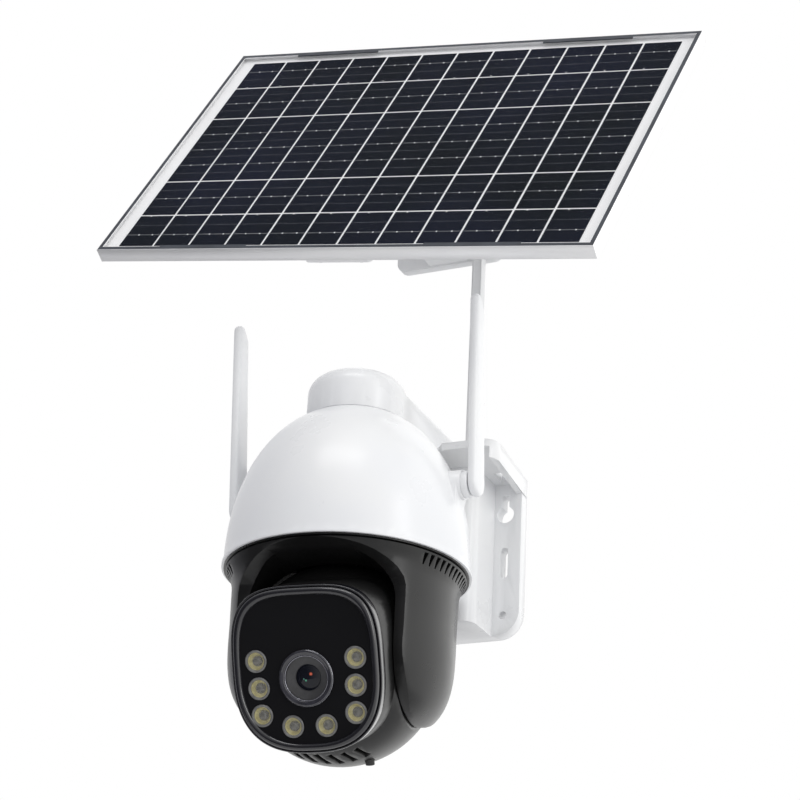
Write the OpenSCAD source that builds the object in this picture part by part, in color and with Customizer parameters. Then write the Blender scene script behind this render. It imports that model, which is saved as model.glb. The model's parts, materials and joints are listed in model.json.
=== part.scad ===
// Solar-powered pan-and-tilt security camera on a wall bracket, with its solar panel on an
// adjustable bracket above it. Millimetres, +Z up, the front looks along -Y.
// The origin is the middle of the wall bracket's back face, which lies against the wall.

/* [Wall bracket] */
// Distance from the wall to the pan axis
reach = 88; // [86:1:100]
// Width of the wall plate
plate_w = 122; // [118:1:130]
// Height of the wall plate
plate_h = 88; // [86:1:96]
// Thickness of the wall plate
plate_t = 8; // [5:0.5:10]
// Side distance of the screw holes from the middle
hole_x = 52; // [50:0.5:54]
// Diameter of the screw holes, slots and keyhole necks
hole_d = 4.2; // [3.5:0.1:5]
// Half width of the arm
arm_half_w = 24.5; // [20:0.5:25]

/* [Dome] */
// Height of the dome's lower rim above the origin
rim_z = -34; // [-36:0.5:-32]
// Radius of the dome at its rim
dome_r = 61.6; // [61:0.1:62]
// Height of the dome's full curve
dome_h = 87.7; // [86:0.1:90]
// Wall thickness of the dome
dome_wall = 2.6; // [2:0.1:3]
// Radius of the cap where the arm meets the dome
cap_r = 25.5; // [25:0.1:26]

/* [Antennas] */
// Height of the antenna hinges above the dome's rim
hinge_z = 43; // [40:0.5:44]
// Length of an antenna from its hinge to its tip
antenna_len = 101; // [90:1:104]
// Lean of the left antenna towards the front
lean_left = 7; // [0:1:20]
// Lean of the right antenna towards the front
lean_right = 4; // [0:1:20]

/* [Camera head] */
// Turn of the head about the pan axis
head_pan = 7.3; // [-90:0.1:90]
// Angle of the head below the horizontal
head_tilt = 24.2; // [12:0.1:80]
// Depth of the tilt axis below the dome's rim
tilt_drop = 46; // [45.5:0.1:46.5]
// Radius of the ball at the back of the head
ball_r = 49.5; // [48:0.1:50]
// Half width of the head's face
face_hw = 36.7; // [36:0.1:36.8]
// Half height of the head's face
face_hh = 39.2; // [38.5:0.1:39.5]
// Distance from the tilt axis to the window
face_y = 53.6; // [53:0.1:54]

/* [Solar panel] */
// Long side of the panel
panel_w = 290; // [280:1:300]
// Short side of the panel
panel_h = 193; // [186:1:196]
// Thickness of the panel's frame
panel_t = 8; // [7:0.5:9]
// Turn of the panel about the upright pin
panel_pan = 3.8; // [-8:0.1:10]
// Slope of the panel from the horizontal
panel_tilt = 63.9; // [56:0.1:68]
// Turn of the panel on its turntable
panel_roll = -10.8; // [-14:0.1:2]
// Number of cells along the panel
cell_cols = 12; // [10:1:14]

/* [Hidden] */
$fn = 64;
tiny = 0.01;
big = 200;

// Wall bracket
wall_bottom = -plate_h / 2;
wall_top = plate_h / 2;
plate_corner_r = 13;
hood_depth = 61;
hood_front_hw = 65.5;
hood_lip = 10;
hood_wall = 4;
root_hw = 46;
root_depth = 37;
dome_gap = 2.6;
cap_bottom = 82;
cap_top = 106;
cap_round = 10;
arm_round = 8;
arm_front_top = 105;
arm_back_top = 100.5;
duct_hw = 11;
keyhole_d = 9.6;
keyhole_z = 23;
neck_z = 32.2;
slot_low = -10.6;
slot_high = 2.2;
screw_hole_z = -33;

// Dome and pan drive
dome_pow = 2.22;
dome_root = 2.19;
base_low = 0.3;
base_t = 3;
base_hole_r = 37.4;
holder_r = 51.5;
bearing_z = 3.32;
race_r = 37.6;
post_ring = 48;
boss_ring = 51;
boss_angles = [30, 150, 210, 330];
post_angles = [60, 120, 240, 300];
cap_screw_ring = 17.5;
cap_screw_angles = [90, 210, 330];
gear_mod = 1;
pan_teeth = 60;
pinion_teeth = 12;
pan_centre = gear_mod * (pan_teeth + pinion_teeth) / 2;
pan_gear_z = 14.3;
pan_gear_t = 4;
motor_z = pan_gear_z + pan_gear_t + 0.7;
pan_shaft_d = 5;
motor_d = 28;
motor_t = 15;
holder_z = 36;
cell_d = 18.2;
cell_len = 65;
cell_pitch = 19;
board_z = 57.6;

// Antennas
hub_x = 60.3;
blade_x = 64.1;
blade_t = 4.6;
hub_d = 13.6;
pin_d = 4;
tip_w = 9.6;
tip_r = 9;
tip_shift = -3;
hinge_y = 3.3;
pin_reach = 3.8;
ear_x = 50;
ear_r = 7.6;

// Yoke
yoke_r = 55.8;
yoke_flare = 3.8;
yoke_straight = 30;
yoke_curve = 51.5;
yoke_pow = 3.6;
yoke_wall = 2.6;
yoke_top = -1.5;
arch_hw = 37.4;
arch_top = -5.2;
arch_r = 22;
arm_half = 36.5;
arm_tip = 31.5;
dish_r = 51;
hub_screw_r = 29;
vent_step = 4.2;
axle_d = 10;
tilt_teeth = 40;
tilt_mod = 0.8;
tilt_pinion_teeth = 10;
tilt_centre = tilt_mod * (tilt_teeth + tilt_pinion_teeth) / 2;
tilt_gear_x = 41;
tilt_gear_t = 3;

// Head
face_z = 4.2;
face_top_pow = 3.5;
face_low_pow = 2.6;
bezel_rim = 4.5;
bezel_lip = 1.5;
bezel_back = 47.5;
head_side = 36.7;
head_wall = 2.4;
window_t = 2;
led_d = 10.8;
led_places = [
    [-24.4, 8.7], [24.4, 8.7], [-23.7, -4.1], [23.7, -4.1],
    [-23, -16.8], [23, -16.8], [-8.2, -22.3], [8.2, -22.3]
];
ring_d = 26.6;
screw_places = [[-26, 28], [26, 28], [-15.5, -12], [15.5, -12]];
button_at = [15, -12];
button_low = -47.6;
button_flange = -40.8;
head_vent_step = 6.6;

// Solar panel
pivot = [11.8, -37, 199.3];
link = 20;
shelf_z = 181;
shelf_t = 8;
collar_r = 11.5;
collar_half = 10;
knuckle_r = 7.6;
bolt_d = 8;
link_holes = [184, 194];
panel_plate_z = 210;
panel_plate_w = 64;
panel_plate_h = 60;
strap_screw_x = 12;
strap_screw_in = 8;
spigot_r = 6;
stack = 34;
flange = 2.6;
lip_t = 0.6;
rail_wall = 1.5;
foot_flange = 12;
glass_t = 1.6;
cell_t = 0.3;
sheet_t = 0.5;
side_margin = 10.3;
cell_gap = 1.4;
row_heights = [27, 30.5, 61, 30.5, 26];
row_gap = 1.3;
strap_w = 40;
strap_t = 3;
table_r = 24;
table_t = 4;
strap_z = stack - panel_t - strap_t;
cheek_gap = 7.3;
cheek_t = 4;
pin_r = 7;
link_bar = 6;
link_x = 31.5;
foot_screw_x = 38;
box_x = 70;
box_y = 30;
box_w = 62;
box_h = 46;
box_t = 14;
back_z = -lip_t - glass_t - cell_t - sheet_t;

// Radius of the dome's outside at height z above the rim
function dome_at(z) = dome_r * pow(1 - pow(z / dome_h, dome_pow), 1 / dome_root);

// Radius of the yoke's outside at height z, negative below the rim
function yoke_at(z) =
    z > -12 ? yoke_r + 0.4 + yoke_flare * pow((z + 12) / 10.5, 2) :
    z > -yoke_straight ? yoke_r + 0.4 * (z + yoke_straight) / 18 :
    yoke_r * pow(1 - pow((-z - yoke_straight) / yoke_curve, yoke_pow), 1 / yoke_pow);

// Half depth of the yoke's side tongue at height z
function tongue_at(z) = arm_half + 23.5 * pow(max(0, (z + 25) / 23.5), 3);

// One point of the rounded face, with fuller corners at the top than at the bottom
function face_point(hw, hh, a) =
    let (n = sin(a) > 0 ? face_top_pow : face_low_pow)
    [hw * sign(cos(a)) * pow(abs(cos(a)), 2 / n), hh * sign(sin(a)) * pow(abs(sin(a)), 2 / n)];

function face_outline(hw, hh) = [for (a = [0:5:355]) face_point(hw, hh, a)];

// Places
module at_dome() {
    translate([0, -reach, rim_z]) children();
}
module at_yoke() {
    at_dome() rotate([0, 0, head_pan]) children();
}
module at_head() {
    at_yoke() translate([0, 0, -tilt_drop]) rotate([head_tilt, 0, 0]) children();
}
module at_pivot() {
    translate(pivot) rotate([0, 0, panel_pan]) children();
}
module at_tilt() {
    at_pivot() translate([0, -link, 0]) rotate([panel_tilt, 0, 0]) children();
}
module at_panel() {
    at_tilt() rotate([0, 0, panel_roll]) translate([0, 0, stack]) children();
}
// Extrudes a drawing of the front view (x, z) from y = front to y = back
module front_view(front, back) {
    translate([0, back, 0]) rotate([90, 0, 0]) linear_extrude(back - front) children();
}
// Extrudes a drawing of the side view (y, z) from x = left to x = right
module side_view(left, right) {
    translate([left, 0, 0]) rotate([90, 0, 90]) linear_extrude(right - left) children();
}
module both_sides() {
    for (s = [0, 1]) mirror([s, 0, 0]) children();
}
module rounded(w, h, r) {
    for (sx = [-1, 1], sy = [-1, 1]) translate([sx * (w / 2 - r), sy * (h / 2 - r)]) circle(r);
    square([w - 2 * r, h], center = true);
    square([w, h - 2 * r], center = true);
}
module along_y(r, front, back) {
    front_view(front, back) circle(r);
}
module along_x(r, left, right) {
    side_view(left, right) circle(r);
}

// A gear blank with straight-sided teeth and running clearance, lying in the XY plane
function gear_points(mod, teeth, turn) = [
    for (i = [0:teeth - 1]) for (k = [
        [-0.27, -1.2], [-0.2, 0], [-0.09, 0.8], [0.09, 0.8], [0.2, 0], [0.27, -1.2]
    ])
    let (r = mod * (teeth / 2 + k[1]), a = (i + k[0]) * 360 / teeth + turn) [r * cos(a), r * sin(a)]
];
module gear_2d(mod, teeth, turn = 0) {
    polygon(gear_points(mod, teeth, turn));
}

// Wall bracket: plate, hood, root and arm in one moulding
module hood_outline(shrink) {
    back_hw = plate_w / 2 - shrink;
    front_hw = hood_front_hw - shrink;
    r = 8 - shrink / 2;
    translate([0, -hood_depth + shrink + r]) {
        for (s = [-1, 1]) translate([s * (front_hw - r), 0]) circle(r);
        translate([-(front_hw - r), -r]) square([2 * (front_hw - r), r]);
    }
    polygon([
        [-back_hw, tiny], [-front_hw, -hood_depth + shrink + r],
        [front_hw, -hood_depth + shrink + r], [back_hw, tiny]
    ]);
}
module bracket_hood() {
    difference() {
        translate([0, 0, wall_top - hood_lip]) linear_extrude(hood_lip) hood_outline(0);
        translate([0, -plate_t, wall_top - hood_lip - tiny])
            linear_extrude(hood_lip - hood_wall) hood_outline(3);
        translate([53, -18, wall_top - hood_lip]) cube([4, 12, 2 * hood_lip + 4], center = true);
    }
}
module bracket_plate() {
    front_view(-plate_t, 0) difference() {
        union() {
            rounded(plate_w, plate_h, plate_corner_r);
            translate([-plate_w / 2, 0]) square([plate_w, wall_top]);
        }
        both_holes_2d();
    }
}
module both_holes_2d() {
    for (s = [-1, 1]) translate([s * hole_x, 0]) {
        translate([0, keyhole_z]) circle(d = keyhole_d);
        translate([-hole_d / 2, keyhole_z]) square([hole_d, neck_z - keyhole_z]);
        translate([0, neck_z]) circle(d = hole_d);
        translate([-hole_d / 2, slot_low]) square([hole_d, slot_high - slot_low]);
        translate([0, slot_low]) circle(d = hole_d);
        translate([0, slot_high]) circle(d = hole_d);
        translate([0, screw_hole_z]) circle(d = hole_d);
    }
}
module bracket_root() {
    r = 9;
    translate([0, 0, wall_bottom]) linear_extrude(plate_h - tiny) {
        for (s = [-1, 1]) translate([s * (root_hw - r), -root_depth + r]) circle(r);
        translate([-(root_hw - r), -root_depth]) square([2 * (root_hw - r), root_depth - 1]);
        translate([-root_hw, -root_depth + r]) square([2 * root_hw, root_depth - r - 1]);
    }
}
module bracket_arm() {
    low = rim_z + cap_bottom;
    front_top = rim_z + arm_front_top;
    back_top = rim_z + arm_back_top;
    intersection() {
        side_view(-arm_half_w, arm_half_w) polygon([
            [-reach, low], [-reach, front_top], [-reach + 25, front_top - 1.6], [0, back_top], [0, low]
        ]);
        union() {
            front_view(-reach, 0) translate([0, front_top - 16]) rounded(2 * arm_half_w, 28, arm_round);
            translate([-arm_half_w, -reach, low]) cube([2 * arm_half_w, reach, 12]);
        }
    }
    translate([0, -reach, rim_z]) rotate_extrude($fn = 96) {
        translate([0, cap_bottom]) square([cap_r, cap_top - cap_round - cap_bottom]);
        translate([0, cap_bottom]) square([cap_r - cap_round, cap_top - cap_bottom]);
        intersection() {
            translate([cap_r - cap_round, cap_top - cap_round]) circle(cap_round);
            translate([0, cap_bottom]) square([cap_r, cap_top - cap_bottom]);
        }
    }
    // Web that carries the arm down into the root
    translate([-arm_half_w, -24, wall_bottom + 4])
        cube([2 * arm_half_w, 24, low - wall_bottom]);
}
module wall_bracket() {
    color("white") difference() {
        union() {
            bracket_plate();
            bracket_root();
            bracket_hood();
            bracket_arm();
        }
        // Room for the dome
        at_dome() translate([0, 0, -20]) cylinder(r = dome_r + dome_gap, h = 86, $fn = 96);
        at_dome() translate([0, 0, 60]) cylinder(r = dome_at(66) + 2, h = cap_bottom - 60, $fn = 96);
        // Pockets that open to the wall, and the duct from the dome
        for (s = [-1, 1]) translate([s * 29 - 13, -18, wall_bottom + 5]) cube([26, 18 + tiny, 34]);
        for (s = [-1, 1]) translate([s * 29 - 13, -18, wall_bottom + 43]) cube([26, 18 + tiny, 34]);
        translate([-duct_hw, -18, wall_bottom + 5])
            cube([2 * duct_hw, 18 + tiny, plate_h + 14]);
        translate([-duct_hw, -reach, rim_z + 88]) cube([2 * duct_hw, reach - 10, 10]);
        at_dome() translate([0, 0, cap_bottom - 1]) cylinder(r = duct_hw, h = 15);
        for (a = cap_screw_angles) at_dome() rotate([0, 0, a]) translate([cap_screw_ring, 0, cap_bottom - 1])
            cylinder(d = 3.4, h = 16);
        translate([foot_screw_x, -8, wall_top - 12]) cylinder(d = 3.3, h = 14);
        // Inlet for the power lead
        translate([0, -9, wall_bottom - 1]) cylinder(d = 9, h = 8);
    }
}
module cable_bush() {
    color("dimgray") translate([0, -9, wall_bottom]) difference() {
        union() {
            translate([0, 0, -1.5]) cylinder(d = 13, h = 1.5);
            cylinder(d = 8.9, h = 5);
        }
        translate([0, 0, -2]) cylinder(d = 4.5, h = 8);
    }
}

// Dome
module dome_profile(shrink, top) {
    steps = 26;
    polygon(concat(
        [[0, 0]],
        [for (i = [0:steps]) let (z = top * sin(90 * i / steps)) [dome_at(z) - shrink, z]],
        [[0, top]]
    ));
}
module ear() {
    translate([0, hinge_y, hinge_z]) along_x(ear_r, ear_x, hub_x);
    hull() {
        translate([0, hinge_y, hinge_z]) along_x(ear_r, ear_x + 2, hub_x - 1.5, $fn = 32);
        translate([56, 0, 14]) sphere(3, $fn = 24);
    }
}
module dome_cover() {
    color("white") at_dome() difference() {
        union() {
            rotate_extrude($fn = 120) dome_profile(0, cap_bottom);
            cylinder(r = dome_r + 0.7, h = 1.6, $fn = 120);
            both_sides() ear();
        }
        difference() {
            translate([0, 0, -tiny]) rotate_extrude($fn = 120) dome_profile(dome_wall, cap_bottom - 3);
            for (a = boss_angles) rotate([0, 0, a]) translate([boss_ring, 0, base_low + base_t]) {
                cylinder(r = 4.4, h = 24);
                translate([0, -1, 0]) cube([10, 2, 24]);
            }
            both_sides() translate([0, hinge_y, hinge_z]) along_x(ear_r - 1.6, ear_x, 60);
        }
        for (a = boss_angles) rotate([0, 0, a]) translate([boss_ring, 0, 1])
            cylinder(d = 2.9, h = 16);
        for (a = cap_screw_angles) rotate([0, 0, a]) translate([cap_screw_ring, 0, 70]) cylinder(d = 4.3, h = 20);
        translate([0, 0, 70]) cylinder(r = 9, h = 20);
        both_sides() translate([0, hinge_y, hinge_z]) along_x(pin_d / 2, 48, 80);
    }
}
module dome_base() {
    color([0.05, 0.05, 0.06]) at_dome() {
        difference() {
            union() {
                translate([0, 0, base_low]) cylinder(r = dome_r - dome_wall - 0.3, h = base_t, $fn = 120);
                translate([0, 0, -0.9]) cylinder(r = dome_r - 0.5, h = 0.8, $fn = 120);
                translate([0, 0, -0.5]) cylinder(r = dome_r - dome_wall - 0.3, h = 1, $fn = 120);
            }
            translate([0, 0, -1]) cylinder(r = base_hole_r, h = 6);
            for (a = boss_angles) rotate([0, 0, a]) translate([boss_ring, 0, -1]) {
                cylinder(d = 3.3, h = 8);
                cylinder(d = 6, h = 2.6);
            }
        }
        difference() {
            translate([0, 0, base_low]) cylinder(r = 46, h = 7);
            translate([0, 0, -1]) cylinder(r = 42.04, h = 20);
        }
        for (a = post_angles) rotate([0, 0, a]) translate([post_ring, 0, base_low + 1])
            cylinder(r = 3, h = holder_z - base_low - 1);
        // Motor posts, cut back where the bearing's outer ring sits
        difference() {
            for (s = [-1, 1]) translate([pan_centre + 3, s * 18, base_low + 1])
                cylinder(r = 2.6, h = motor_z - base_low - 1);
            translate([0, 0, bearing_z - 0.02]) cylinder(r = 42.04, h = 5.3);
        }
    }
}
module dome_screws() {
    color("silver") at_dome() {
        for (a = boss_angles) rotate([0, 0, a]) translate([boss_ring, 0, -0.4]) {
            cylinder(d = 5.6, h = 2);
            cylinder(d = 2.86, h = 13);
        }
        for (a = cap_screw_angles) rotate([0, 0, a]) translate([cap_screw_ring, 0, 0]) {
            translate([0, 0, 76]) cylinder(d = 7, h = 3);
            translate([0, 0, 78]) cylinder(d = 3.36, h = 18);
        }
    }
}

// Battery and its board
module battery_cells() {
    color("seagreen") at_dome() for (i = [-1.5:1:1.5])
        translate([i * cell_pitch, 0, holder_z + 2 + cell_d / 2]) {
            along_y(cell_d / 2, -cell_len / 2, cell_len / 2 - 2);
            along_y(3.5, cell_len / 2 - 2.5, cell_len / 2);
        }
}
module battery_holder() {
    color([0.1, 0.1, 0.1]) at_dome() difference() {
        union() {
            intersection() {
                translate([0, 0, holder_z]) cylinder(r = holder_r, h = 1.8);
                cube([94, 2 * holder_r, big], center = true);
            }
            for (s = [-1, 1]) translate([0, s * (cell_len / 2 + 1.7), holder_z + 8])
                cube([74, 2.4, 13], center = true);
        }
        for (a = post_angles) rotate([0, 0, a]) translate([post_ring, 0, holder_z - 1])
            cylinder(d = 2.5, h = 6);
        translate([0, 0, holder_z - 1]) cylinder(r = 5, h = 4);
    }
}
module power_board() {
    color("darkgreen") at_dome() {
        translate([0, 0, board_z]) cube([66, 46, 1.6], center = true);
        translate([-18, 8, board_z + 3.3]) cube([14, 14, 5], center = true);
        translate([16, -8, board_z + 2.3]) cube([22, 20, 3], center = true);
        translate([14, 14, board_z + 4.3]) cube([8, 8, 7], center = true);
        for (s = [-1, 1], t = [-1, 1]) translate([s * 28.5, t * 19, board_z - 1.4])
            cylinder(r = 1.6, h = 1);
    }
}

// Pan drive
module pan_motor() {
    color("silver") at_dome() translate([pan_centre, 0, 0]) {
        translate([0, 0, motor_z + 0.02]) cylinder(d = motor_d, h = motor_t);
        translate([3, 0, motor_z + 0.52]) cube([8, 42, 1], center = true);
        translate([0, 0, pan_gear_z + 0.5]) cylinder(d = pan_shaft_d, h = 6);
    }
}
module pan_pinion() {
    color("ivory") at_dome() translate([pan_centre, 0, pan_gear_z]) difference() {
        linear_extrude(pan_gear_t) gear_2d(gear_mod, pinion_teeth, 180 + 180 / pinion_teeth);
        translate([0, 0, -1]) cylinder(d = pan_shaft_d + 0.06, h = 8);
    }
}
module pan_gear() {
    color("ivory") at_yoke() translate([0, 0, pan_gear_z]) difference() {
        linear_extrude(pan_gear_t) gear_2d(gear_mod, pan_teeth, -head_pan);
        translate([0, 0, -1]) cylinder(r = 12, h = 8);
    }
}
module pan_hub() {
    color([0.07, 0.07, 0.08]) at_yoke() difference() {
        translate([0, 0, yoke_top]) cylinder(r = 33, h = pan_gear_z - yoke_top);
        translate([0, 0, yoke_top + 2.5]) cylinder(r = 30.5, h = 10);
        translate([0, 0, yoke_top - 1]) cylinder(r = 26.5, h = 5);
        translate([0, 0, yoke_top - 1]) cylinder(r = 10, h = 20);
        for (a = [45:90:315]) rotate([0, 0, a]) translate([hub_screw_r, 0, -3]) cylinder(d = 2.9, h = 5);
    }
}
module bearing_ring(outer, inner, groove) {
    difference() {
        cylinder(r = outer, h = 5);
        translate([0, 0, -1]) cylinder(r = inner, h = 8);
        translate([0, 0, 2.5]) rotate_extrude($fn = 64) translate([groove, 0]) circle(1.6, $fn = 32);
    }
}
module pan_bearing_outer() {
    color("silver") at_dome() translate([0, 0, bearing_z]) bearing_ring(42, 38.4, race_r);
}
module pan_bearing_inner() {
    color("silver") at_yoke() translate([0, 0, bearing_z]) {
        bearing_ring(36.8, 33.04, race_r);
        for (a = [0:15:345]) rotate([0, 0, a]) translate([race_r, 0, 2.5]) sphere(1.52, $fn = 32);
    }
}
module slip_ring() {
    color([0.2, 0.2, 0.22]) at_dome() {
        translate([0, 0, pan_gear_z + 2]) cylinder(d = 13, h = holder_z - pan_gear_z - 3);
        translate([0, 0, holder_z - 2]) cylinder(d = 22, h = 2);
    }
}

// Antennas
module antenna_hubs() {
    color("white") at_dome() both_sides() translate([0, hinge_y, hinge_z]) difference() {
        along_x(hub_d / 2, hub_x, blade_x - 0.35);
        along_x(pin_d / 2, hub_x - 1, blade_x + 1);
    }
}
module antenna_pins() {
    color("silver") at_dome() both_sides() translate([0, hinge_y, hinge_z]) {
        along_x(pin_d / 2 - 0.02, ear_x, blade_x + pin_reach);
        along_x(3.4, ear_x - 1.4, ear_x);
    }
}
module blade_2d() {
    intersection() {
        polygon([
            [-hub_d / 2, 0], [-tip_w / 2 - 0.6, antenna_len], [tip_w / 2, antenna_len],
            [hub_d / 2, 0]
        ]);
        union() {
            translate([-hub_d, -1]) square([2 * hub_d, antenna_len - tip_r + 1]);
            translate([tip_shift, antenna_len - tip_r]) circle(r = tip_r, $fn = 96);
        }
    }
}
module antenna(lean) {
    at_dome() translate([0, hinge_y, hinge_z]) rotate([lean, 0, 0]) difference() {
        union() {
            along_x(hub_d / 2, blade_x, blade_x + blade_t);
            side_view(blade_x, blade_x + blade_t) blade_2d();
        }
        along_x(pin_d / 2 + 0.03, blade_x - 1, blade_x + pin_reach);
    }
}
module antenna_right() {
    color("white") antenna(lean_right);
}
module antenna_left() {
    color("white") mirror([1, 0, 0]) antenna(lean_left);
}

// Yoke
module yoke_profile(shrink, low, high) {
    steps = 30;
    polygon(concat(
        [[0, low]],
        [for (i = [0:steps]) let (z = low + (high - low) * i / steps) [max(1, yoke_at(z) - shrink), z]],
        [[0, high]]
    ));
}
module tongue_2d(shrink) {
    low = [for (a = [180:7.5:360]) [
        (arm_half - shrink) * cos(a), -tilt_drop + (arm_tip - shrink) * sin(a)
    ]];
    up_right = [for (z = [-40, -25, -20, -16, -12, -9, -6, -4, -1.5]) [tongue_at(z) - shrink, z - shrink]];
    up_left = [for (i = [8:-1:0]) [-up_right[i][0], up_right[i][1]]];
    polygon(concat(low, up_right, up_left));
}
module arch_2d() {
    translate([-(arch_hw - arch_r), arch_top - arch_r]) circle(arch_r, $fn = 96);
    translate([arch_hw - arch_r, arch_top - arch_r]) circle(arch_r, $fn = 96);
    translate([-(arch_hw - arch_r), arch_top - arch_r]) square([2 * (arch_hw - arch_r), arch_r]);
    translate([-arch_hw, -100]) square([2 * arch_hw, 100 + arch_top - arch_r]);
}
module yoke() {
    color([0.06, 0.06, 0.07]) at_yoke() difference() {
        intersection() {
            rotate_extrude($fn = 120) yoke_profile(0, -78, yoke_top);
            side_view(-70, 70) tongue_2d(0);
        }
        front_view(-70, 70) arch_2d();
        // Room for the ball of the head
        intersection() {
            translate([0, 0, -tilt_drop]) sphere(dish_r, $fn = 96);
            cube([2 * arch_hw, big, big], center = true);
        }
        // Hollow arms, closed on the inside by the covers
        for (s = [0, 1]) mirror([s, 0, 0]) intersection() {
            rotate_extrude($fn = 120) yoke_profile(yoke_wall, -78, -8);
            side_view(arch_hw - 1, 70) tongue_2d(2.4);
        }
        // Ventilation slots round the back
        for (a = [58:vent_step:302]) rotate([0, 0, a - 90]) translate([0, 0, yoke_top - 0.8])
            side_view(54, 61) polygon([[-1.3, 0], [1.3, 0], [0.4, -5.2], [-0.4, -5.2]]);
        for (a = [45:90:315]) rotate([0, 0, a]) translate([hub_screw_r, 0, -20]) cylinder(d = 2.9, h = 30);
    }
}
module cover_2d() {
    difference() {
        intersection() {
            tongue_2d(2.6);
            translate([-60, -100]) square([120, 85]);
        }
        translate([0, -tilt_drop]) circle(d = 14.02);
    }
}
module arm_covers() {
    color([0.05, 0.05, 0.06]) at_yoke() both_sides() side_view(arch_hw, arch_hw + 2) cover_2d();
}
module tilt_bushes() {
    color("goldenrod") at_yoke() both_sides() translate([0, 0, -tilt_drop]) difference() {
        union() {
            along_x(7, arch_hw, arch_hw + 2.4);
            along_x(8.4, arch_hw + 2.02, arch_hw + 3);
        }
        along_x(axle_d / 2 + 0.03, 30, 60);
    }
}
module tilt_motor() {
    color("silver") at_yoke() translate([0, 0, -tilt_drop + tilt_centre]) mirror([1, 0, 0]) {
        along_x(8, tilt_gear_x + tilt_gear_t + 0.4, 52.2);
        along_x(1.5, tilt_gear_x, tilt_gear_x + tilt_gear_t + 0.5);
    }
}
module tilt_pinion() {
    color("ivory") at_yoke() translate([0, 0, -tilt_drop + tilt_centre]) mirror([1, 0, 0]) difference() {
        side_view(tilt_gear_x, tilt_gear_x + tilt_gear_t)
            rotate([0, 0, 270 + 180 / tilt_pinion_teeth]) gear_2d(tilt_mod, tilt_pinion_teeth);
        along_x(1.53, tilt_gear_x - 1, tilt_gear_x + 10);
    }
}
module yoke_screws() {
    color("silver") at_yoke() for (a = [45:90:315]) rotate([0, 0, a]) translate([hub_screw_r, 0, -3.9])
        cylinder(d = 2.86, h = 4.8);
}

// Head
module face_shape(hw, hh, front, back) {
    front_view(front, back) translate([0, face_z]) polygon(face_outline(hw, hh));
}
// Ball of the head with flat sides, turned about the tilt axis
module ball(shrink) {
    side = head_side - shrink;
    r = ball_r - shrink;
    rotate([0, 90, 0]) rotate_extrude($fn = 120) intersection() {
        circle(r, $fn = 96);
        translate([0, -side]) square([r, 2 * side]);
    }
}
module head_shell() {
    color([0.05, 0.05, 0.06]) at_head() difference() {
        union() {
            face_shape(face_hw, face_hh, -bezel_back, -12);
            ball(0);
        }
        translate([0, -bezel_back - 50, 0]) cube([200, 100, 200], center = true);
        face_shape(face_hw - head_wall, face_hh - head_wall, -bezel_back - 1, -14);
        ball(head_wall);
        both_sides() along_x(axle_d / 2, 30, 50);
        // Slanted vents under the face
        for (i = [-3:2]) translate([i * head_vent_step + 2, -25, -40.5]) rotate([0, 0, -22])
            cube([3.4, 10, 15], center = true);
        translate([button_at[0], button_at[1], -60]) cylinder(r = 2.5, h = 40);
    }
    // Bulkhead and posts for the screws of the face
    color([0.05, 0.05, 0.06]) at_head() difference() {
        union() {
            face_shape(face_hw - 1, face_hh - 1, -32, -30);
            for (p = screw_places) translate([p[0], 0, p[1]]) along_y(3.6, -face_y + 9.7, -31);
        }
        along_y(14, -60, 0);
        for (p = screw_places) translate([p[0], 0, p[1]]) along_y(1.25, -bezel_back - 1, -36);
    }
}
module head_bezel() {
    color([0.08, 0.08, 0.09]) at_head() difference() {
        union() {
            face_shape(face_hw, face_hh, -face_y, -bezel_back);
            face_shape(face_hw - 1.2, face_hh - 1.2, -face_y - bezel_lip, -face_y + 1);
        }
        face_shape(face_hw - bezel_rim, face_hh - bezel_rim, -face_y - 5, -face_y + window_t + 0.1);
        face_shape(face_hw - bezel_rim - 2.5, face_hh - bezel_rim - 2.5, -70, -20);
        for (p = led_places) translate([p[0], 0, p[1]]) along_y(led_d / 2, -face_y - 0.6, -40);
        for (p = screw_places) translate([p[0], 0, p[1]]) along_y(2.5, -bezel_back - 2.1, -40);
    }
}
module front_window() {
    color([0.01, 0.01, 0.01]) at_head() difference() {
        face_shape(face_hw - bezel_rim - 0.1, face_hh - bezel_rim - 0.1, -face_y, -face_y + window_t);
        for (p = led_places) translate([p[0], 0, p[1]]) along_y(led_d / 2, -60, -40);
        along_y(ring_d / 2, -60, -40);
    }
}
module led_lenses() {
    color("whitesmoke") at_head() for (p = led_places) translate([p[0], 0, p[1]]) {
        along_y(led_d / 2 - 0.1, -face_y - 0.5, -face_y + 4);
    }
}
module led_chips() {
    color("khaki") at_head() for (p = led_places) translate([p[0], -face_y + 5.3, p[1]])
        cube([3.5, 1.6, 3.5], center = true);
}
module led_board() {
    color("white") at_head() difference() {
        face_shape(face_hw - 8, face_hh - 8, -face_y + 6.1, -face_y + 7.7);
        along_y(12, -60, -40);
        for (p = screw_places) translate([p[0], 0, p[1]]) along_y(1.3, -60, -40);
    }
}
module heat_sink() {
    color("silver") at_head() difference() {
        union() {
            face_shape(face_hw - 9, face_hh - 9, -face_y + 7.7, -face_y + 9.7);
            for (i = [-2:2]) translate([i * 8 - 0.8, -face_y + 9, 13]) cube([1.6, 7, 20]);
        }
        along_y(12, -60, -30);
        for (p = screw_places) translate([p[0], 0, p[1]]) along_y(p[1] < 0 ? 3.9 : 1.3, -43.9, -30);
        for (p = screw_places) translate([p[0], 0, p[1]]) along_y(1.3, -60, -30);
    }
}
module lens_ring() {
    color([0.2, 0.2, 0.22]) at_head() difference() {
        along_y(ring_d / 2 - 0.1, -face_y - 1.8, -face_y + 5.8);
        along_y(10.2, -60, -40);
    }
}
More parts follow.
